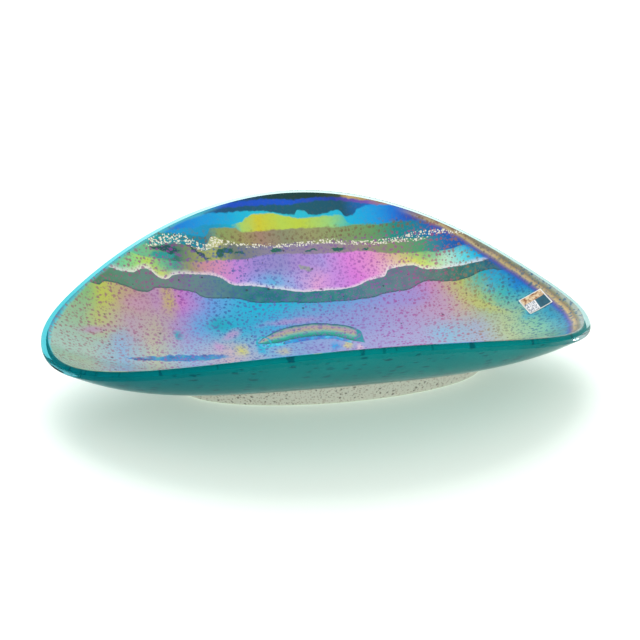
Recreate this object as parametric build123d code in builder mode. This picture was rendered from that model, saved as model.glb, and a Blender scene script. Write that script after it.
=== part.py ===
"""Free-form art glass bowl: cased coloured glass, lustre lining, flecked foot pad and a small label.

Frame: origin on the table under the centre of the rim, +X towards the narrower low end,
+Y towards the higher back wall, +Z up. All sizes are millimetres.
"""

from build123d import *
import os
from math import cos, pi, sin, sqrt

os.makedirs("parts", exist_ok=True)

# Rim, seen from above: an ellipse.
rim_half_length = 188.5
rim_half_width = 127

# Underside of the bowl: a trough along X whose two ends turn up late.
foot_lift = 8  # lowest point of the bowl above the table
lowest_line = -4  # Y of the trough's lowest line
end_lift = 30.5  # rise of the low ends, reached end_reach from the middle
end_reach = 190
end_power = 4
end_lean = -0.07  # the left end is a little higher than the right one
wall_lift = 67  # rise of the front and back walls, reached wall_reach from the lowest line
wall_reach = 120
wall_lean = 0.10  # the back wall is a little higher than the front one
corner_lift = 23  # extra rise on the diagonals

# Wall, measured square to the surface, from the outside inwards.
casing_thickness = 3.0
teal_thickness = 3.2
lustre_thickness = 0.5
wall_thickness = casing_thickness + teal_thickness
lined_thickness = wall_thickness + lustre_thickness
clear_lip = 3.2  # width of clear glass between the rim and the coloured layer
lustre_margin = 2.6  # bare glass between the rim and the lustre lining
lip_rounding = 2.4  # fire-polished rounding of both rim edges

# Oval foot pad under the bowl.
pad_centre = (9.5, 2)
pad_half_length = 104
pad_half_width = 40.5
pad_height = 30  # before the bowl's underside is cut out of it
pad_spread = 7  # how far the side leans out over that height
pad_edge = 1.5

# Paper label with a foil face, stuck inside near the right end.
label_centre = (164, 27)
label_length = 18.5
label_width = 17
label_turn = 7  # degrees about the wall's normal
label_corner = 0.8
label_reach = 4
foil_margin = 0.9
label_paper_thickness = 0.4
label_foil_thickness = 0.3

# Working extents of the surfaces and of the trimming block.
surface_half_length = 212
surface_half_width = 148
surface_columns = 33
surface_rows = 25
surface_tolerance = 0.01
trim_bottom = -4
trim_top = 110
rim_points = 48
slope_step = 0.5
lift = 200


def underside(x, y):
    """Height of the bowl's outer surface above the table."""
    u = x / end_reach
    v = (y - lowest_line) / wall_reach
    ends = end_lift * (1 + end_lean * u) * u**end_power
    walls = wall_lift * (1 + wall_lean * v) * v**2
    return foot_lift + ends + walls + corner_lift * u**2 * v**2


def slopes(x, y):
    """Slopes of the outer surface along X and along Y."""
    along_x = (underside(x + slope_step, y) - underside(x - slope_step, y)) / (2 * slope_step)
    along_y = (underside(x, y + slope_step) - underside(x, y - slope_step)) / (2 * slope_step)
    return along_x, along_y


def height_at(x, y, depth):
    """Height of the surface that lies depth inside the outer surface, square to the wall."""
    along_x, along_y = slopes(x, y)
    return underside(x, y) + depth * sqrt(1 + along_x**2 + along_y**2)


def wall_surface(depth):
    """Smooth face, wider than the bowl, that lies depth inside the outer surface."""
    rows = []
    for row in range(surface_rows):
        y = surface_half_width * (2 * row / (surface_rows - 1) - 1)
        points = []
        for column in range(surface_columns):
            x = surface_half_length * (2 * column / (surface_columns - 1) - 1)
            points.append((x, y, height_at(x, y, depth)))
        rows.append(points)
    return Face.make_surface_from_array_of_points(rows, tol=surface_tolerance, min_deg=3, max_deg=3)


def rim_point(angle, level, inset):
    """Where the rim's lip line at angle, which stands square to the wall, crosses a level plane.

    The rim is first moved inset down the wall, towards the middle of the bowl.
    """
    rim = Vector(rim_half_length * cos(angle), rim_half_width * sin(angle))
    outward = Vector(cos(angle) / rim_half_length, sin(angle) / rim_half_width).normalized()
    along_x, along_y = slopes(rim.X, rim.Y)
    steepness = outward.dot(Vector(along_x, along_y))
    rim -= outward * (inset / sqrt(1 + steepness**2))
    return rim - outward * steepness * (level - underside(rim.X, rim.Y))


def rim_sketch(level, inset):
    """The area inside the rim's section at a level."""
    angles = [2 * pi * step / rim_points for step in range(rim_points)]
    with BuildSketch(Plane.XY.offset(level)) as section:
        with BuildLine():
            Spline([rim_point(angle, level, inset) for angle in angles], periodic=True)
        make_face()
    return section.sketch


def above(surface):
    """Block of everything above a wall surface."""
    return extrude(surface, amount=lift, dir=(0, 0, 1), mode=Mode.PRIVATE)


def rim_block(inset):
    """Block that ends square to the wall all round, inset from the rim."""
    with BuildPart() as block:
        loft(sections=[rim_sketch(trim_bottom, inset), rim_sketch(trim_top, inset)], ruled=True)
    return block.part


def label_plane():
    """Plane on the lustre lining at the label, with its normal square to the wall."""
    x, y = label_centre
    along_x, along_y = slopes(x, y)
    normal = Vector(-along_x, -along_y, 1).normalized()
    middle = Vector(x, y, underside(x, y)) + normal * lined_thickness
    return Plane(origin=middle, x_dir=(1, 0, along_x), z_dir=normal).rotated((0, 0, label_turn))


outer_surface = wall_surface(0)
teal_surface = wall_surface(casing_thickness)
inner_surface = wall_surface(wall_thickness)
lustre_surface = wall_surface(lined_thickness)
paper_surface = wall_surface(lined_thickness + label_paper_thickness)
foil_surface = wall_surface(lined_thickness + label_paper_thickness + label_foil_thickness)

# Room for the coloured layer: everything inside the casing's skin, short of the lip.
with BuildPart() as teal_room:
    add(rim_block(clear_lip))
    add(above(teal_surface), mode=Mode.INTERSECT)

# Clear casing: the outer skin of clear glass, which wraps over the rim as a rounded lip.
with BuildPart() as clear_casing:
    add(rim_block(0))
    add(above(outer_surface), mode=Mode.INTERSECT)
    add(above(inner_surface), mode=Mode.SUBTRACT)
    fillet(clear_casing.edges().sort_by(Edge.length)[-2:], lip_rounding)
    add(teal_room.part, mode=Mode.SUBTRACT)
clear_casing.part.label = "clear_casing"
export_step(clear_casing.part, "parts/clear_casing.step")

# Teal layer: the coloured glass inside the casing.
with BuildPart() as teal_layer:
    add(teal_room.part)
    add(above(inner_surface), mode=Mode.SUBTRACT)
teal_layer.part.label = "teal_layer"
export_step(teal_layer.part, "parts/teal_layer.step")

# Lustre lining: the iridescent skin over the inside of the bowl.
with BuildPart() as lustre_lining:
    add(rim_block(lustre_margin))
    add(above(inner_surface), mode=Mode.INTERSECT)
    add(above(lustre_surface), mode=Mode.SUBTRACT)
lustre_lining.part.label = "lustre_lining"
export_step(lustre_lining.part, "parts/lustre_lining.step")

# Foot pad: an oval of flecked glass with a flat ground base, which fits the underside of the bowl.
with BuildPart() as foot_pad:
    with BuildSketch(Plane.XY):
        with Locations(pad_centre):
            Ellipse(pad_half_length, pad_half_width)
    with BuildSketch(Plane.XY.offset(pad_height)):
        with Locations(pad_centre):
            Ellipse(pad_half_length + pad_spread, pad_half_width + pad_spread)
    loft()
    fillet(foot_pad.edges().group_by(Axis.Z)[0], pad_edge)
    add(above(outer_surface), mode=Mode.SUBTRACT)
foot_pad.part.label = "foot_pad"
export_step(foot_pad.part, "parts/foot_pad.step")

# Label: two square-cut layers that follow the curve of the lining.
with BuildPart() as label_block:
    with BuildSketch(label_plane()):
        RectangleRounded(label_length, label_width, label_corner)
    extrude(amount=label_reach, both=True)

with BuildPart() as label_paper:
    add(label_block.part)
    add(above(lustre_surface), mode=Mode.INTERSECT)
    add(above(paper_surface), mode=Mode.SUBTRACT)
label_paper.part.label = "label_paper"
export_step(label_paper.part, "parts/label_paper.step")

with BuildPart() as foil_block:
    with BuildSketch(label_plane()):
        RectangleRounded(label_length - 2 * foil_margin, label_width - 2 * foil_margin, label_corner)
    extrude(amount=label_reach, both=True)

with BuildPart() as label_foil:
    add(foil_block.part)
    add(above(paper_surface), mode=Mode.INTERSECT)
    add(above(foil_surface), mode=Mode.SUBTRACT)
label_foil.part.label = "label_foil"
export_step(label_foil.part, "parts/label_foil.step")
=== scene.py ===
"""Looks of the free-form art glass bowl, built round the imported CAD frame. Metres, +Z up."""

import math

import bmesh
import bpy
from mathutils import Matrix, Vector


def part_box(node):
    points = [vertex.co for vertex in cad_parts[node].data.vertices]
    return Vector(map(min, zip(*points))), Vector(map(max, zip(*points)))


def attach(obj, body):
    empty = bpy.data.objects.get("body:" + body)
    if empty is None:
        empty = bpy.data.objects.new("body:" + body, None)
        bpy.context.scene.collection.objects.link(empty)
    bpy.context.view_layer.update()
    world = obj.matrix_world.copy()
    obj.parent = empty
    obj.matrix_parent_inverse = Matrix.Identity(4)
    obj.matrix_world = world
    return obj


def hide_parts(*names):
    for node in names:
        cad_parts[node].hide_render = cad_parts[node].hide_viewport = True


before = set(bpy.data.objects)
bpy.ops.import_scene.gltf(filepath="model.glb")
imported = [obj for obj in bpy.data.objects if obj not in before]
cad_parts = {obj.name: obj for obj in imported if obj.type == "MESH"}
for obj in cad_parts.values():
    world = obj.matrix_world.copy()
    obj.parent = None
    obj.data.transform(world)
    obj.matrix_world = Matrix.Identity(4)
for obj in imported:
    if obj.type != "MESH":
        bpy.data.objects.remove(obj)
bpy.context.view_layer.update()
MM = 0.001

# ---------------------------------------------------------------- node helpers


def srgb(colour):
    """Linear colour from 0-255 display values."""
    return tuple(((c / 255 + 0.055) / 1.055) ** 2.4 if c > 10 else c / 255 / 12.92 for c in colour)


class Nodes:
    """Builds one material's node tree with short calls. Lengths are millimetres."""

    def __init__(self, name):
        self.material = bpy.data.materials.new(name)
        self.material.use_nodes = True
        self.tree = self.material.node_tree
        self.tree.nodes.clear()
        self.output = self.tree.nodes.new("ShaderNodeOutputMaterial")
        coordinates = self.tree.nodes.new("ShaderNodeTexCoord")
        self.place = self.vector("SCALE", coordinates.outputs["Object"], scale=1 / MM)
        self.x, self.y, self.z = self.split(self.place)

    def set(self, socket, value):
        if isinstance(value, bpy.types.NodeSocket):
            self.tree.links.new(value, socket)
        elif isinstance(value, (tuple, list)) and len(value) == 3 and len(socket.default_value) == 4:
            socket.default_value = (*value, 1.0)
        else:
            socket.default_value = value

    def node(self, kind, inputs=(), **settings):
        node = self.tree.nodes.new(kind)
        for key, value in settings.items():
            setattr(node, key, value)
        for key, value in dict(inputs).items():
            self.set(node.inputs[key], value)
        return node

    def vector(self, operation, first, second=(0, 0, 0), scale=1.0, output=0):
        inputs = {0: first, "Scale": scale} if operation == "SCALE" else {0: first}
        if operation not in ("SCALE", "LENGTH"):
            inputs[1] = second
        return self.node("ShaderNodeVectorMath", inputs, operation=operation).outputs[output]

    def split(self, vector):
        node = self.node("ShaderNodeSeparateXYZ", {0: vector})
        return node.outputs[0], node.outputs[1], node.outputs[2]

    def join(self, x, y, z):
        return self.node("ShaderNodeCombineXYZ", {0: x, 1: y, 2: z}).outputs[0]

    def math(self, operation, first, second=0.0, third=0.0):
        node = self.node("ShaderNodeMath", {0: first, 1: second, 2: third}, operation=operation)
        return node.outputs[0]

    def add(self, first, second):
        return self.math("ADD", first, second)

    def subtract(self, first, second):
        return self.math("SUBTRACT", first, second)

    def times(self, first, second):
        return self.math("MULTIPLY", first, second)

    def noise(self, scale, detail=3.0, roughness=0.5, seed=0.0):
        """Noise from 0 to 1; scale is in bumps per millimetre."""
        inputs = {"Vector": self.place, "W": seed, "Scale": scale, "Detail": detail, "Roughness": roughness}
        return self.node("ShaderNodeTexNoise", inputs, noise_dimensions="4D").outputs[0]

    def wobble(self, scale, size, **keys):
        """Noise from about -size to size."""
        return self.times(self.subtract(self.noise(scale, **keys), 0.5), 2 * size)

    def step(self, value, low, high):
        """0 below low, 1 above high, smooth between. Either limit may be a socket."""
        node = self.node("ShaderNodeMapRange", {0: value, 1: low, 2: high}, interpolation_type="SMOOTHSTEP")
        return node.outputs[0]

    def band(self, value, low, high, soft):
        """1 where value lies between low and high, with edges soft wide."""
        rising = self.step(value, self.subtract(low, soft), low)
        falling = self.step(value, high, self.add(high, soft))
        return self.times(rising, self.subtract(1.0, falling))

    def curve(self, value, points):
        """Smooth curve through (value, result) points, level beyond its ends."""
        (first, _), (last, _) = points[0], points[-1]
        low = min(result for _, result in points)
        high = max(result for _, result in points)
        placed = [((at - first) / (last - first), (result - low) / (high - low)) for at, result in points]
        across = self.node("ShaderNodeMapRange", {0: value, 1: first, 2: last}).outputs[0]
        node = self.node("ShaderNodeFloatCurve", {"Value": across})
        line = node.mapping.curves[0]
        line.points[0].location = placed[0]
        line.points[1].location = placed[-1]
        for at, result in placed[1:-1]:
            line.points.new(at, result)
        node.mapping.update()
        return self.node("ShaderNodeMapRange", {0: node.outputs[0], 3: low, 4: high}).outputs[0]

    def blob(self, place, centre, radii, soft, turn=0.0):
        """1 in the middle of an ellipse, fading to 0 over the outer share soft of it."""
        offset = self.vector("SUBTRACT", place, (*centre, 0))
        if turn:
            spin = self.node("ShaderNodeVectorRotate", {"Vector": offset, "Angle": -math.radians(turn)})
            offset = spin.outputs[0]
        shrunk = self.vector("MULTIPLY", offset, (1 / radii[0], 1 / radii[1], 0))
        distance = self.vector("LENGTH", shrunk, output="Value")
        return self.subtract(1.0, self.step(distance, 1 - soft, 1.0))

    def mix(self, factor, first, second):
        node = self.node("ShaderNodeMix", data_type="RGBA", clamp_factor=True)
        self.set(node.inputs[0], factor)
        self.set(node.inputs[6], first)
        self.set(node.inputs[7], second)
        return node.outputs[2]

    def ramp(self, value, low, high, stops):
        """Colour ramp over stops of (value, display colour), for values from low to high."""
        placed = self.node("ShaderNodeMapRange", {0: value, 1: low, 2: high}).outputs[0]
        node = self.node("ShaderNodeValToRGB", {0: placed})
        elements = node.color_ramp.elements
        while len(elements) < len(stops):
            elements.new(1.0)
        for element, (position, colour) in zip(elements, stops):
            element.position = (position - low) / (high - low)
            element.color = (*srgb(colour), 1.0)
        return node.outputs[0]

    def specks(self, place, spacing, size, share):
        """Round flat specks: 1 inside each. About share of the cells spacing apart hold one."""
        cells = self.node("ShaderNodeTexVoronoi", {"Vector": place, "Scale": 1 / spacing, "Randomness": 1.0},
                          voronoi_dimensions="2D", feature="F1")
        red, green, _ = self.split(cells.outputs["Color"])
        radius = self.times(self.add(0.35, self.times(green, 0.65)), size / spacing)
        inside = self.subtract(1.0, self.step(cells.outputs["Distance"], self.times(radius, 0.6), radius))
        return self.times(inside, self.math("LESS_THAN", red, share))

    def bump(self, height, distance):
        return self.node("ShaderNodeBump", {"Height": height, "Distance": distance, "Strength": 1.0}).outputs[0]

    def finish(self, **inputs):
        """Ends the tree in a Principled shader; spaces in socket names are written as underscores."""
        shader = self.node("ShaderNodeBsdfPrincipled")
        for key, value in inputs.items():
            self.set(shader.inputs[key.replace("_", " ")], value)
        self.tree.links.new(shader.outputs[0], self.output.inputs[0])
        return self.material


# ---------------------------------------------------------------- lustre lining

RIM_HALF_LENGTH = 188.5  # of the rim ellipse, millimetres
RIM_HALF_WIDTH = 127
LOWEST_LINE = -4  # Y of the bowl's lowest line; levels are counted from it, up both walls
PAINT_END = 190  # X where the colour ramps along the bowl end, either side
LABEL_TURN = 7  # degrees, as on the bowl

# Colours from end to end of the bowl, at three levels below the dark band.
LOW_ROWS = [
    (22, [(-185, (158, 196, 182)), (-155, (165, 190, 178)), (-132, (138, 178, 212)), (-112, (182, 190, 168)),
          (-88, (146, 180, 216)), (-62, (198, 178, 190)), (-30, (120, 175, 215)), (0, (135, 165, 215)),
          (45, (165, 165, 215)), (75, (170, 168, 212)), (95, (142, 188, 216)), (118, (165, 175, 200)),
          (136, (178, 196, 150)), (156, (120, 190, 165)), (168, (30, 155, 190)), (177, (90, 120, 150)),
          (186, (165, 170, 150))]),
    (48, [(-185, (150, 195, 165)), (-160, (155, 192, 150)), (-146, (190, 196, 120)), (-126, (190, 165, 185)),
          (-108, (190, 178, 165)), (-92, (178, 150, 205)), (-78, (105, 170, 228)), (-55, (20, 180, 214)),
          (-25, (60, 175, 226)), (0, (130, 162, 222)), (40, (150, 162, 222)), (75, (180, 160, 212)),
          (100, (198, 162, 196)), (115, (202, 186, 150)), (130, (170, 200, 128)), (143, (70, 190, 182)),
          (154, (0, 168, 208)), (167, (0, 126, 200)), (176, (70, 90, 165)), (184, (165, 150, 120))]),
    (66, [(-155, (140, 195, 130)), (-143, (196, 206, 90)), (-122, (198, 160, 150)), (-106, (196, 150, 195)),
          (-95, (200, 175, 130)), (-86, (205, 130, 212)), (-66, (105, 168, 236)), (-40, (0, 188, 225)),
          (-5, (0, 184, 222)), (25, (70, 172, 230)), (55, (140, 162, 230)), (78, (178, 150, 220)),
          (92, (208, 145, 205)), (106, (206, 180, 150)), (117, (192, 204, 105)), (128, (30, 188, 190)),
          (142, (0, 150, 222)), (156, (0, 105, 205)), (166, (110, 80, 165)), (175, (170, 140, 90))]),
]

# Bright zone above the dark band, at two levels; its brightness is painted reflection.
PINK_ROWS = [
    (77, [(-142, (110, 190, 150)), (-126, (150, 216, 132)), (-112, (240, 238, 105)), (-98, (246, 238, 120)),
          (-86, (248, 190, 180)), (-72, (242, 158, 200)), (-52, (224, 148, 232)), (-36, (160, 166, 244)),
          (-18, (100, 190, 240)), (-2, (186, 172, 240)), (12, (238, 172, 228)), (26, (216, 150, 240)),
          (42, (238, 130, 234)), (56, (248, 165, 228)), (69, (255, 220, 215)), (82, (252, 240, 110)),
          (96, (218, 242, 130)), (108, (200, 246, 218)), (120, (110, 235, 244)), (130, (0, 196, 242)),
          (142, (0, 104, 228)), (150, (130, 70, 205)), (158, (226, 150, 120))]),
    (88, [(-136, (70, 190, 190)), (-122, (140, 228, 150)), (-110, (196, 232, 100)), (-100, (120, 200, 150)),
          (-90, (60, 165, 150)), (-80, (158, 160, 112)), (-70, (216, 150, 165)), (-58, (226, 150, 195)),
          (-46, (210, 142, 232)), (-30, (170, 145, 225)), (-12, (158, 148, 214)), (4, (188, 150, 226)),
          (20, (186, 162, 238)), (38, (240, 140, 238)), (54, (246, 152, 222)), (67, (240, 180, 182)),
          (78, (222, 206, 140)), (90, (150, 208, 120)), (104, (50, 180, 150)), (115, (0, 150, 195)),
          (126, (0, 106, 220)), (140, (0, 70, 190))]),
]

# Stripes towards the rim, from low to high: the lower edge of each, then its colours. Their light and dark is
# painted reflection of the surroundings.
STRIPES = [
    ([(-130, 95), (-112, 92), (-100, 91), (-88, 90.5), (-66, 91.5), (-36, 92), (-20, 94), (0, 93.5), (20, 92.5),
      (45, 91.5), (62, 89.5), (75, 87.5), (95, 86), (110, 84), (130, 84)],
     [(-120, (110, 205, 160)), (-104, (130, 200, 140)), (-90, (20, 120, 110)), (-76, (150, 160, 105)),
      (-60, (180, 185, 110)), (-46, (120, 130, 120)), (-20, (150, 140, 165)), (20, (160, 140, 165)),
      (55, (160, 150, 130)), (75, (130, 165, 105)), (95, (70, 165, 125)), (112, (0, 110, 190)),
      (125, (0, 80, 180))]),
    ([(-120, 97), (-100, 98.5), (-82, 100), (-64, 97), (-57, 101), (-30, 99), (0, 99), (40, 97.5), (60, 95.5),
      (90, 94), (115, 92)],
     [(-116, (110, 215, 170)), (-104, (20, 168, 165)), (-85, (0, 150, 165)), (-66, (0, 138, 170)),
      (-54, (150, 170, 100)), (-38, (168, 160, 100)), (-24, (176, 140, 120)), (-8, (150, 152, 118)),
      (14, (166, 166, 112)), (40, (138, 166, 108)), (60, (105, 166, 105)), (76, (0, 150, 140)),
      (95, (0, 132, 170)), (108, (0, 95, 195)), (120, (60, 60, 150))]),
    ([(-110, 103), (-85, 105), (-66, 104), (-60, 108), (-45, 108.5), (-35, 106), (-20, 106.5), (0, 107),
      (20, 106.5), (45, 106), (60, 105), (85, 104), (100, 101)],
     [(-102, (0, 140, 228)), (-82, (0, 165, 222)), (-58, (0, 160, 205)), (-44, (0, 186, 215)),
      (-37, (180, 226, 115)), (-24, (226, 216, 50)), (-8, (200, 228, 85)), (10, (206, 226, 70)),
      (30, (160, 226, 140)), (43, (50, 200, 200)), (58, (0, 176, 226)), (76, (0, 150, 220)), (92, (0, 105, 205)),
      (104, (30, 60, 165))]),
    ([(-100, 106), (-75, 108), (-60, 110), (-40, 110.5), (-33, 113), (-22, 115), (0, 113), (10, 112), (30, 112),
      (38, 111), (44, 106.5), (60, 106), (80, 105), (100, 102)],
     [(-90, (0, 120, 232)), (-70, (0, 158, 238)), (-48, (0, 180, 236)), (-28, (0, 208, 236)), (0, (40, 206, 226)),
      (40, (0, 196, 238)), (60, (0, 170, 244)), (78, (0, 120, 230)), (94, (40, 60, 180))]),
    ([(-88, 110), (-72, 114), (-58, 115.5), (-42, 116), (-30, 116.5), (-16, 115.5), (-4, 114.5), (2, 114),
      (6, 116), (12, 114.5), (18, 113), (25, 113.2), (33, 114), (38, 113), (42, 110.5), (50, 113.5), (60, 114.5),
      (90, 110)],
     [(-80, (0, 85, 185)), (-62, (0, 95, 165)), (-48, (0, 85, 125)), (0, (0, 98, 120)), (40, (0, 88, 112)),
      (55, (0, 110, 195)), (72, (30, 80, 205)), (88, (170, 110, 140))]),
    ([(-80, 112), (-60, 116.5), (-40, 118.5), (-20, 118.8), (0, 119), (20, 119.2), (40, 118), (60, 115),
      (80, 112)],
     [(-60, (0, 75, 205)), (0, (0, 90, 222)), (34, (20, 60, 170)), (58, (130, 90, 190)), (75, (205, 155, 105))]),
    ([(-60, 118.5), (-20, 121.5), (0, 121), (20, 120.8), (40, 119.5), (55, 117.5), (80, 111.5)],
     [(-50, (0, 90, 170)), (-15, (0, 66, 70)), (20, (0, 60, 58)), (40, (60, 80, 60)), (46, (215, 180, 120)),
      (62, (190, 160, 100)), (72, (96, 92, 52)), (86, (110, 106, 64))]),
]

# The dark wavy band (a painted reflection), the line of painted glints and the crescent: (x, level) along each
# edge.
BAND_BOTTOM = [(-152, 70), (-144, 70.5), (-138, 74), (-127, 73.5), (-113, 71.5), (-102, 75), (-88, 74), (-78, 73),
               (-66, 69), (-55, 69), (-35, 65), (-8, 63), (15, 61.5), (48, 62), (62, 64), (78, 64.5), (92, 67.5),
               (103, 65.5), (120, 64), (132, 66), (145, 62.5), (160, 59)]
BAND_TOP = [(-152, 70), (-138, 82), (-122, 81.5), (-110, 84.5), (-97, 80), (-90, 83), (-68, 83.5), (-48, 77),
            (-30, 75), (-10, 71.5), (0, 70), (33, 70), (50, 73.5), (62, 75), (67, 79), (80, 79.5), (92, 75.5),
            (110, 73.5), (130, 72), (148, 70.5), (160, 60)]
BAND_COLOURS = [(-150, (70, 130, 100)), (-125, (80, 140, 115)), (-105, (105, 135, 125)), (-85, (110, 130, 135)),
                (-65, (100, 128, 145)), (-40, (0, 112, 125)), (0, (20, 118, 128)), (25, (0, 125, 130)),
                (45, (80, 128, 140)), (80, (105, 120, 138)), (95, (85, 125, 120)), (115, (20, 112, 108)),
                (140, (0, 88, 130)), (155, (60, 80, 70))]
PAINTED_GLINT_LINE = [(-112, 98), (-100, 100.5), (-84, 102.5), (-75, 101), (-66, 98.5), (-59, 101.5), (-45, 100.5),
                (-30, 99), (0, 98.5), (22, 99), (40, 97), (60, 95.5), (85, 95), (103, 95), (118, 92), (126, 89.5)]
PAINTED_GLINT_SPREAD = [(-110, 1.2), (-98, 2.2), (-72, 2.0), (-64, 1.2), (-60, 2.6), (-54, 1.2), (-30, 0.8), (20, 0.9),
                  (80, 1.2), (92, 2.2), (102, 1.0), (126, 0.6)]
CRESCENT_TOP = [(-38, 32), (-34, 36), (-30, 38.5), (-24, 41.5), (-12, 44.5), (0, 45.5), (14, 44.2), (25, 41.5),
                (32, 38), (36, 33)]
CRESCENT_BOTTOM = [(-38, 30.5), (-30, 30), (-15, 32.5), (0, 34), (12, 33.5), (20, 30.5), (27, 26.5), (36, 23)]

# Soft clouds in the lower bowl: centre, radii, turn in degrees, colour and strength.
CLOUDS = [
    ((-140, 66), (11, 7), 0, (196, 206, 90), 0.7), ((-120, 63), (11, 8), 0, (205, 155, 195), 0.6),
    ((-98, 66), (6, 5), 0, (205, 185, 120), 0.7), ((-88, 67), (5, 7), 0, (208, 130, 210), 0.8),
    ((-67, 58), (17, 12), 0, (105, 168, 236), 0.5), ((-62, 50), (12, 9), 0, (0, 172, 195), 0.85),
    ((-30, 60), (26, 6), 0, (0, 190, 228), 0.7), ((-93, 41), (6, 7), 0, (0, 168, 190), 0.9),
    ((-133, 33), (10, 16), 0, (138, 178, 216), 0.6), ((-150, 39), (20, 5), 25, (188, 145, 190), 0.75),
    ((-113, 38), (7, 13), 0, (190, 180, 165), 0.6), ((-68, 30), (6, 8), 0, (200, 150, 205), 0.75),
    ((-55, 41), (12, 5), 25, (200, 150, 205), 0.75), ((-12, 49), (36, 4), 4, (180, 148, 210), 0.7),
    ((-51, 24), (9, 10), 0, (206, 204, 110), 0.9), ((-36, 24), (6, 9), 0, (0, 178, 220), 0.9),
    ((-21, 21), (8, 6), 0, (190, 184, 160), 0.85), ((2, 22), (12, 8), 0, (145, 155, 212), 0.85),
    ((15, 22), (6, 7), 0, (0, 160, 230), 0.9), ((23.5, 22), (4, 7), 0, (212, 206, 122), 0.85),
    ((30, 18), (4, 6), 0, (230, 196, 214), 0.8), ((70, 57), (34, 9), 0, (160, 150, 225), 0.5),
    ((126, 43), (32, 6), -43, (200, 202, 115), 0.7), ((140, 55), (11, 11), 0, (0, 180, 222), 0.6),
    ((155, 51), (11, 12), 0, (0, 112, 220), 0.7), ((157, 22), (9, 9), 0, (0, 165, 205), 0.7),
    ((92, 25), (9, 7), 0, (142, 188, 226), 0.6), ((-10, 4), (46, 9), 0, (150, 172, 214), 0.7),
    ((-78, -8), (30, 14), 0, (176, 176, 206), 0.6), ((60, -30), (40, 16), 10, (120, 172, 222), 0.6),
    ((-20, -44), (44, 10), -6, (190, 156, 206), 0.6), ((-110, -40), (24, 14), 20, (190, 190, 150), 0.5),
]

# Ragged dark patches under the line of painted glints: centre, radii, turn and colour.
PATCHES = [
    ((-97, 93.2), (10, 2), 0, (30, 165, 160)), ((-95, 96.8), (14, 1.5), 0, (0, 80, 84)),
    ((-91, 96.2), (6, 2.2), 0, (0, 90, 90)), ((-71, 95.8), (11, 1), -25, (0, 84, 84)),
    ((-55, 95.5), (3, 3), 0, (0, 96, 84)), ((-50, 96.8), (6, 1.5), 0, (0, 96, 84)),
    ((-41, 95.6), (5, 0.8), 0, (20, 100, 90)), ((-14, 96), (5.5, 1.1), 0, (0, 108, 88)),
    ((12, 95), (5.5, 0.8), 0, (0, 108, 92)), ((31, 94), (6, 1.2), 0, (0, 104, 90)),
    ((51.5, 92.3), (3, 0.8), 0, (0, 110, 96)),
]


def lustre_rows(n, x, level, rows):
    """Colours of several rows, blended from level to level."""
    colour = n.ramp(x, -PAINT_END, PAINT_END, rows[0][1])
    for (below, _), (above, stops) in zip(rows, rows[1:]):
        colour = n.mix(n.step(level, below, above), colour, n.ramp(x, -PAINT_END, PAINT_END, stops))
    return colour


def rim_distance(n):
    """Distance from the rim ellipse in plan, in millimetres."""
    share = n.vector("LENGTH", n.vector("MULTIPLY", n.place, (1 / RIM_HALF_LENGTH, 1 / RIM_HALF_WIDTH, 0)),
                     output="Value")
    steepness = n.vector("LENGTH", n.vector("MULTIPLY", n.place, (RIM_HALF_LENGTH**-2, RIM_HALF_WIDTH**-2, 0)),
                         output="Value")
    return n.math("DIVIDE", n.times(share, n.subtract(1.0, share)), n.math("MAXIMUM", steepness, 0.001))


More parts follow.
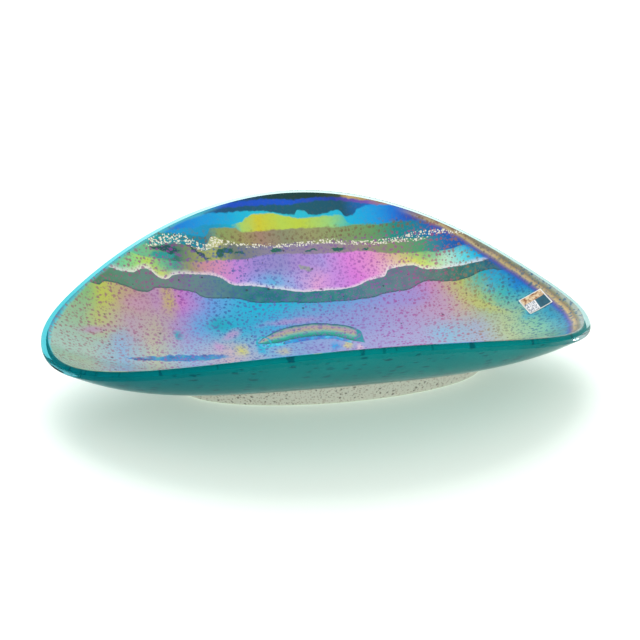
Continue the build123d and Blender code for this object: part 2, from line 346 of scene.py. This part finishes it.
def lustre_material():
    """Iridescent lining: bands and stripes that follow the levels up the walls, clouds and specks. The light and
    dark of the bands and stripes is painted reflection of the surroundings, over iridescent hues; the line of
    white glints is painted highlight.
    """
    n = Nodes("iridescent_lustre")
    behind = n.subtract(n.y, LOWEST_LINE)
    level = n.math("ABSOLUTE", behind)
    # Flat map of the surface for the specks: levels stretch with the steepness of the walls.
    stretched = n.times(n.y, n.math("MULTIPLY_ADD", level, 0.002, 1.0))
    unrolled = n.join(n.x, stretched, 0.0)
    mottle = n.wobble(0.3, 3.2, detail=3.0, roughness=0.65, seed=1.5)
    soft_x = n.add(n.x, n.add(n.wobble(0.03, 8, detail=3.0, seed=1.0), n.times(mottle, 1.6)))
    soft_level = n.add(level, n.add(n.wobble(0.04, 4, detail=3.0, seed=2.0), mottle))
    soft_place = n.join(soft_x, n.add(behind, n.add(n.wobble(0.04, 4, detail=3.0, seed=2.5), mottle)), 0.0)
    inward = rim_distance(n)

    def edge(points, seed, tear=1.1):
        """Height of a ragged edge at this x."""
        slow = n.wobble(0.06, 0.8, detail=1.0, seed=seed)
        fast = n.wobble(0.28, tear, detail=4.0, seed=seed + 0.5)
        return n.add(n.curve(n.x, points), n.add(slow, fast))

    colour = lustre_rows(n, soft_x, soft_level, LOW_ROWS)
    for centre, radii, turn, tint, strength in CLOUDS:
        colour = n.mix(n.times(n.blob(soft_place, centre, radii, 0.9, turn), strength), colour, srgb(tint))

    # blue streak, low on the left
    streak_place = n.join(n.x, n.add(behind, n.add(n.wobble(0.05, 3, seed=5.0), n.wobble(0.3, 3, seed=5.5))), 0.0)
    streak = n.math("MAXIMUM", n.blob(streak_place, (-90, 18.5), (33, 4.5), 0.3),
                    n.blob(streak_place, (-118, 16.5), (18, 1.4), 0.4))
    blues = n.ramp(n.noise(0.14, detail=3.0, seed=6.0), 0.3, 0.7, [
        (0.36, (0, 80, 150)), (0.45, (0, 126, 190)), (0.56, (0, 135, 205)), (0.66, (40, 165, 180))])
    colour = n.mix(n.times(streak, 0.92), colour, blues)

    # bright zone above the dark band, its brightness a painted reflection, with a painted highlight, a pale band,
    # along its lower edge
    band_top = edge(BAND_TOP, 10.0, tear=0.8)
    band_bottom = edge(BAND_BOTTOM, 11.0, tear=0.7)
    bright = lustre_rows(n, soft_x, soft_level, PINK_ROWS)
    painted_highlight_height = n.add(3.4, n.wobble(0.06, 3.5, detail=4.0, seed=12.0))
    painted_edge_highlight = n.subtract(1.0, n.step(level, band_top, n.add(band_top, painted_highlight_height)))
    bright = n.mix(n.times(painted_edge_highlight, 0.75), bright, srgb((255, 246, 252)))
    hook = n.blob(streak_place, (5, 85), (6, 1.4), 0.4, turn=-12)
    bright = n.mix(n.times(hook, 0.8), bright, srgb((160, 172, 150)))
    colour = n.mix(n.step(level, n.subtract(band_top, 0.5), band_top), colour, bright)

    # stripes towards the rim, their light and dark a painted reflection
    for number, (points, stops) in enumerate(STRIPES):
        line = edge(points, 20.0 + number)
        stripe = n.ramp(soft_x, -PAINT_END, PAINT_END, stops)
        colour = n.mix(n.step(level, n.subtract(line, 0.5), n.add(line, 0.5)), colour, stripe)
    ragged_place = n.join(n.add(n.x, n.wobble(0.25, 2.5, seed=31.0)),
                          n.add(behind, n.wobble(0.25, 2.2, detail=3.0, seed=32.0)), 0.0)
    for centre, radii, turn, tint in PATCHES:
        colour = n.mix(n.times(n.blob(ragged_place, centre, radii, 0.35, turn), 0.94), colour, srgb(tint))

    # dark wavy band, a painted reflection, with a darker line along its lower edge
    dark = n.band(level, band_bottom, band_top, 0.4)
    dark_colour = n.ramp(soft_x, -PAINT_END, PAINT_END, BAND_COLOURS)
    cloud = n.step(n.noise(0.16, detail=4.0, seed=8.0), 0.35, 0.65)
    dark_colour = n.mix(n.times(cloud, 0.4), dark_colour, srgb((90, 160, 140)))
    lower_line = n.subtract(1.0, n.step(level, n.add(band_bottom, 0.2), n.add(band_bottom, 1.1)))
    dark_colour = n.mix(n.times(lower_line, 0.55), dark_colour, srgb((0, 66, 80)))
    colour = n.mix(n.times(dark, 0.95), colour, dark_colour)

    # crescent in the bottom
    eye = n.add(behind, n.wobble(0.15, 0.9, detail=3.0, seed=13.0))
    eye_top = n.curve(n.x, CRESCENT_TOP)
    eye_bottom = n.curve(n.x, CRESCENT_BOTTOM)
    under_line = n.times(n.band(eye, n.subtract(eye_bottom, 3.2), eye_bottom, 0.9), n.band(n.x, -37, 24, 4.0))
    under_colour = n.ramp(n.noise(0.12, detail=3.0, seed=14.0), 0.3, 0.7, [
        (0.36, (0, 96, 200)), (0.5, (0, 160, 225)), (0.62, (70, 225, 245))])
    colour = n.mix(n.times(under_line, 0.9), colour, under_colour)
    inside = n.times(n.band(eye, eye_bottom, eye_top, 0.5), n.band(n.x, -40, 35, 0.8))
    share = n.math("DIVIDE", n.subtract(eye, eye_bottom), n.math("MAXIMUM", n.subtract(eye_top, eye_bottom), 1.0))
    share = n.add(share, n.wobble(0.2, 0.1, detail=3.0, seed=15.0))
    fill = n.ramp(share, 0, 1, [(0.0, (0, 104, 110)), (0.1, (0, 150, 130)), (0.25, (20, 176, 150)),
                                (0.42, (130, 186, 176)), (0.55, (176, 176, 140)), (0.75, (190, 160, 172)),
                                (0.88, (130, 170, 160)), (0.95, (0, 112, 122)), (1.0, (0, 104, 114))])
    fill = n.mix(n.subtract(1.0, n.band(soft_x, -34, 29, 3.0)), fill, srgb((0, 150, 164)))
    colour = n.mix(n.times(inside, 0.95), colour, fill)
    ring = n.blob(n.join(n.x, eye, 0.0), (-35, 31), (6, 7), 0.5)
    colour = n.mix(n.times(n.band(ring, 0.15, 0.6, 0.15), 0.85), colour, srgb((0, 186, 206)))

    # rim: fringe colours at the right, turquoise at the left
    right = n.step(n.add(n.x, n.wobble(0.03, 12, seed=16.0)), 78, 104)
    wander = n.add(inward, n.wobble(0.06, 1.4, detail=4.0, seed=17.0))
    widened = n.math("DIVIDE", wander, n.add(1.0, n.times(n.step(n.x, 100, 165), 0.45)))
    fringe = n.ramp(widened, 5, 13, [(5.4, (176, 190, 178)), (6.4, (150, 150, 110)), (7.2, (150, 130, 100)),
                                     (7.9, (196, 170, 120)), (8.7, (216, 190, 130)), (9.5, (150, 130, 150)),
                                     (10.4, (90, 90, 180)), (11.6, (10, 96, 205)), (13.0, (0, 110, 215))])
    colour = n.mix(n.times(n.times(right, n.subtract(1.0, n.step(widened, 10.4, 12.6))), 0.92), colour, fringe)
    left = n.times(n.subtract(1.0, n.step(n.x, -70, -40)), n.subtract(1.0, n.step(wander, 7.2, 9.0)))
    colour = n.mix(n.times(left, 0.85), colour, n.ramp(wander, 5, 9, [
        (5.2, (0, 130, 180)), (6.2, (20, 160, 200)), (7.2, (70, 200, 215)), (8.6, (120, 210, 200))]))

    # specks
    tint = n.ramp(soft_x, -PAINT_END, PAINT_END, [
        (-175, (150, 110, 110)), (-120, (160, 84, 130)), (-85, (150, 66, 170)), (-60, (50, 100, 170)),
        (0, (110, 84, 180)), (60, (168, 78, 170)), (105, (176, 80, 130)), (125, (150, 120, 70)),
        (150, (30, 100, 140))])
    tint = n.mix(n.step(level, 97, 102), tint, srgb((126, 96, 70)))
    smudged = n.join(n.add(n.x, n.wobble(0.5, 1.2, seed=41.0)),
                     n.add(stretched, n.wobble(0.5, 1.2, seed=42.0)), 0.0)
    patchy = n.step(n.noise(0.035, detail=2.0, seed=43.0), 0.3, 0.62)
    fade = n.subtract(1.0, n.times(n.step(level, 103, 109), 0.9))
    big = n.specks(smudged, 3.7, 1.55, 0.9)
    small = n.specks(n.vector("ADD", smudged, (31, 17, 0)), 2.3, 0.9, 0.9)
    colour = n.mix(n.times(n.times(big, n.add(0.3, n.times(patchy, 0.45))), fade), colour, tint)
    colour = n.mix(n.times(n.times(small, 0.45), fade), colour, tint)
    dots = n.specks(n.vector("ADD", unrolled, (9, 5, 0)), 17, 1.2, 0.5)
    colour = n.mix(n.times(n.times(dots, 0.7), fade), colour, srgb((50, 44, 66)))

    # painted highlights: a line of tiny white glints, with a cream tint among them at the left
    line = n.add(n.curve(n.x, PAINTED_GLINT_LINE), n.wobble(0.2, 0.8, detail=3.0, seed=51.0))
    spread = n.curve(n.x, PAINTED_GLINT_SPREAD)
    beside = n.band(n.subtract(behind, line), n.times(spread, -1), spread, 0.5)
    near = n.times(beside, n.band(n.x, -106, 126, 3.0))
    painted_glints = n.math("MAXIMUM", n.specks(unrolled, 1.5, 0.8, 0.75),
                     n.specks(n.vector("ADD", unrolled, (3, 8, 0)), 2.2, 1.1, 0.5))
    cream = n.times(near, n.band(n.x, -64, -54, 3.0))
    colour = n.mix(n.times(cream, 0.6), colour, srgb((222, 216, 140)))
    white = n.mix(n.noise(0.2, seed=53.0), srgb((255, 255, 255)), srgb((255, 246, 200)))
    colour = n.mix(n.times(near, painted_glints), colour, white)

    ripple = n.add(n.noise(0.05, detail=2.0, seed=61.0), n.times(n.noise(0.25, detail=2.0, seed=62.0), 0.15))
    return n.finish(Base_Color=colour, Metallic=0.5, Roughness=0.2, IOR=1.5, Coat_Weight=0.15,
                    Coat_Roughness=0.04, Normal=n.bump(ripple, 0.0004))


# ---------------------------------------------------------------- other materials


def outside_map(n):
    """Flat map of the outside for the specks: along the bowl, and up either wall."""
    return n.join(n.x, n.add(n.math("ABSOLUTE", n.subtract(n.y, LOWEST_LINE)), n.z), 0.0)


def teal_material():
    """Dense teal glass with soft dark specks, thinner and greyer low down at the right end."""
    n = Nodes("teal_glass")
    cloud = n.noise(0.03, detail=4.0, seed=3.0)
    colour = n.mix(cloud, srgb((0, 128, 130)), srgb((0, 156, 154)))
    unrolled = outside_map(n)
    smudged = n.vector("ADD", unrolled, n.join(n.wobble(0.2, 2.5, seed=8.0), n.wobble(0.2, 2.5, seed=9.0), 0.0))
    blurred = n.add(0.3, n.times(n.noise(0.05, seed=5.0), 0.7))
    colour = n.mix(n.times(n.specks(smudged, 11.0, 3.4, 0.6), blurred), colour, srgb((0, 76, 96)))
    colour = n.mix(n.times(n.specks(n.vector("ADD", smudged, (7, 3, 0)), 4.5, 1.2, 0.5), 0.45), colour,
                   srgb((0, 84, 96)))
    inward = n.add(rim_distance(n), n.wobble(0.06, 12, detail=5.0, roughness=0.6, seed=7.0))
    thin = n.times(n.step(n.x, 105, 168), n.step(inward, 6, 20))
    colour = n.mix(n.times(thin, 0.7), colour, srgb((140, 170, 162)))
    return n.finish(Base_Color=colour, Roughness=0.35, IOR=1.5, Specular_IOR_Level=0.03)


def clear_material():
    """Clear glass, turquoise towards the left end; a low index keeps the pale floor's glare off the teal."""
    n = Nodes("clear_glass")
    reach = n.add(n.x, n.wobble(0.02, 30, seed=3.0))
    tint = n.ramp(reach, -PAINT_END, PAINT_END, [
        (-170, (84, 190, 206)), (-120, (120, 208, 220)), (-50, (206, 236, 240)), (80, (214, 238, 240)),
        (170, (176, 206, 208))])
    return n.finish(Base_Color=tint, Roughness=0.02, IOR=1.05, Specular_IOR_Level=0.12,
                    Transmission_Weight=1.0)


def flecked_material():
    n = Nodes("flecked_glass")
    unrolled = outside_map(n)
    colour = n.mix(n.noise(0.5, detail=4.0, seed=2.0), srgb((222, 218, 204)), srgb((246, 240, 228)))
    smudged = n.vector("ADD", unrolled, n.join(n.wobble(0.5, 1.5, seed=8.0), n.wobble(0.5, 0.8, seed=9.0), 0.0))
    colour = n.mix(n.times(n.specks(smudged, 1.9, 0.8, 0.8), 0.5), colour, srgb((150, 112, 88)))
    colour = n.mix(n.times(n.specks(n.vector("ADD", smudged, (5, 9, 0)), 4.5, 1.1, 0.6), 0.75), colour,
                   srgb((90, 74, 60)))
    # painted highlight: a pale line along the pad's bottom edge
    edge = n.subtract(1.0, n.step(n.add(n.z, n.wobble(0.1, 0.4, seed=3.0)), 0.6, 1.6))
    colour = n.mix(n.times(edge, 0.8), colour, srgb((236, 242, 226)))
    return n.finish(Base_Color=colour, Roughness=0.2, IOR=1.5)


def paper_material():
    n = Nodes("label_paper")
    colour = n.mix(n.noise(1.5, detail=4.0), srgb((228, 228, 224)), srgb((244, 244, 240)))
    return n.finish(Base_Color=colour, Roughness=0.6)



def foil_material():
    """Plain printed panel: a gold strip above a white block and a dark block. No lettering."""
    n = Nodes("label_foil")
    low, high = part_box("label_foil")
    middle = (low + high) / 2 / MM
    offset = n.vector("SUBTRACT", n.place, (middle.x, middle.y, 0))
    spin = n.node("ShaderNodeVectorRotate", {"Vector": offset, "Angle": math.radians(-LABEL_TURN)})
    along, across, _ = n.split(spin.outputs[0])
    gold = n.mix(n.step(n.noise(0.5, detail=3.0), 0.35, 0.65), srgb((150, 96, 60)), srgb((240, 214, 176)))
    mottled = n.step(n.noise(1.2, detail=2.0, seed=4.0), 0.48, 0.58)
    white = n.mix(mottled, srgb((236, 236, 238)), srgb((120, 130, 150)))
    dark = n.mix(n.noise(0.4, detail=2.0, seed=6.0), srgb((16, 66, 90)), srgb((40, 110, 130)))
    lower = n.mix(n.step(along, 0.2, 0.6), white, dark)
    upper = n.step(across, 1.6, 2.0)
    colour = n.mix(upper, lower, gold)
    line = n.band(along, -0.3, 0.3, 0.15)
    colour = n.mix(n.times(line, n.subtract(1.0, upper)), colour, srgb((244, 244, 246)))
    return n.finish(Base_Color=colour, Roughness=0.3, Metallic=0.2)


# ---------------------------------------------------------------- pieces

WELD = 0.00001
SHARP_ANGLE = 40  # degrees, above which an edge stays sharp
OVERLAP = 0.0001  # how far the coloured layer reaches into the clear glass, so that no air shows between them


def give(node_name, material):
    """Gives a CAD node one material."""
    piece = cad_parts[node_name]
    piece.data.materials.clear()
    piece.data.materials.append(material)


def smooth_copy(node_name, name, material):
    """Welded, smoothly shaded copy of a CAD node, grown by OVERLAP, which stands for it."""
    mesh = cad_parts[node_name].data.copy()
    work = bmesh.new()
    work.from_mesh(mesh)
    bmesh.ops.remove_doubles(work, verts=work.verts, dist=WELD)
    work.normal_update()
    for vertex in work.verts:
        vertex.co += vertex.normal * OVERLAP
    work.to_mesh(mesh)
    work.free()
    mesh.materials.clear()
    mesh.materials.append(material)
    mesh.shade_smooth()
    mesh.set_sharp_from_angle(angle=math.radians(SHARP_ANGLE))
    piece = bpy.data.objects.new(name, mesh)
    bpy.context.scene.collection.objects.link(piece)
    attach(piece, "root")
    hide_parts(node_name)


give("lustre_lining", lustre_material())
give("clear_casing", clear_material())
give("foot_pad", flecked_material())
give("label_paper", paper_material())
give("label_foil", foil_material())
smooth_copy("teal_layer", "teal_glass_body", teal_material())

# ---------------------------------------------------------------- stage, light and camera


def add_floor():
    """Pale floor, lit a little from within, as on a light table."""
    half = 5.0
    drop = -0.0002  # just clear of the pad's ground base
    mesh = bpy.data.meshes.new("floor")
    corners = [(-half, -half, drop), (half, -half, drop), (half, half, drop), (-half, half, drop)]
    mesh.from_pydata(corners, [], [(0, 1, 2, 3)])
    floor = bpy.data.objects.new("floor", mesh)
    bpy.context.scene.collection.objects.link(floor)
    n = Nodes("pale_floor")
    colour = n.mix(n.noise(0.004, detail=2.0), srgb((214, 214, 214)), srgb((218, 218, 218)))
    mesh.materials.append(n.finish(Base_Color=colour, Roughness=0.8, Specular_IOR_Level=0.1,
                                   Emission_Color=(0.33, 0.39, 0.33), Emission_Strength=1.0))


def add_sun(aim_from, spread, power, colour):
    """Very soft sun from a direction, kept out of the glossy reflections."""
    light = bpy.data.lights.new("key", "SUN")
    light.angle = math.radians(spread)
    light.energy = power
    light.color = colour
    lamp = bpy.data.objects.new("key", light)
    lamp.rotation_euler = (-Vector(aim_from)).to_track_quat("-Z", "Y").to_euler()
    lamp.visible_glossy = False
    bpy.context.scene.collection.objects.link(lamp)


def add_world(colour, strength):
    world = bpy.data.worlds.new("studio")
    bpy.context.scene.world = world
    world.use_nodes = True
    background = world.node_tree.nodes["Background"]
    background.inputs[0].default_value = (*colour, 1)
    background.inputs[1].default_value = strength


def add_camera():
    """Camera one metre from the bowl, at the fitted angle of view."""
    turn = math.radians(-11.8)  # round the bowl, from straight in front
    rise = math.radians(24.54)
    aim = Vector((-0.0008, 0, 0.0449))
    camera = bpy.data.cameras.new("camera")
    camera.lens = 81.92
    camera.sensor_width = 36
    seat = bpy.data.objects.new("camera", camera)
    seat.location = Vector((math.sin(turn) * math.cos(rise), -math.cos(turn) * math.cos(rise), math.sin(rise)))
    seat.location.y -= 0.002
    seat.rotation_euler = (aim - seat.location).to_track_quat("-Z", "Y").to_euler()
    bpy.context.scene.collection.objects.link(seat)
    bpy.context.scene.camera = seat


add_floor()
add_world((0.97, 1.0, 0.98), 0.85)
add_sun((0.1, 1.0, 1.0), 45, 2.8, (1.0, 1.0, 1.0))
bpy.context.scene.view_settings.view_transform = "Standard"
add_camera()
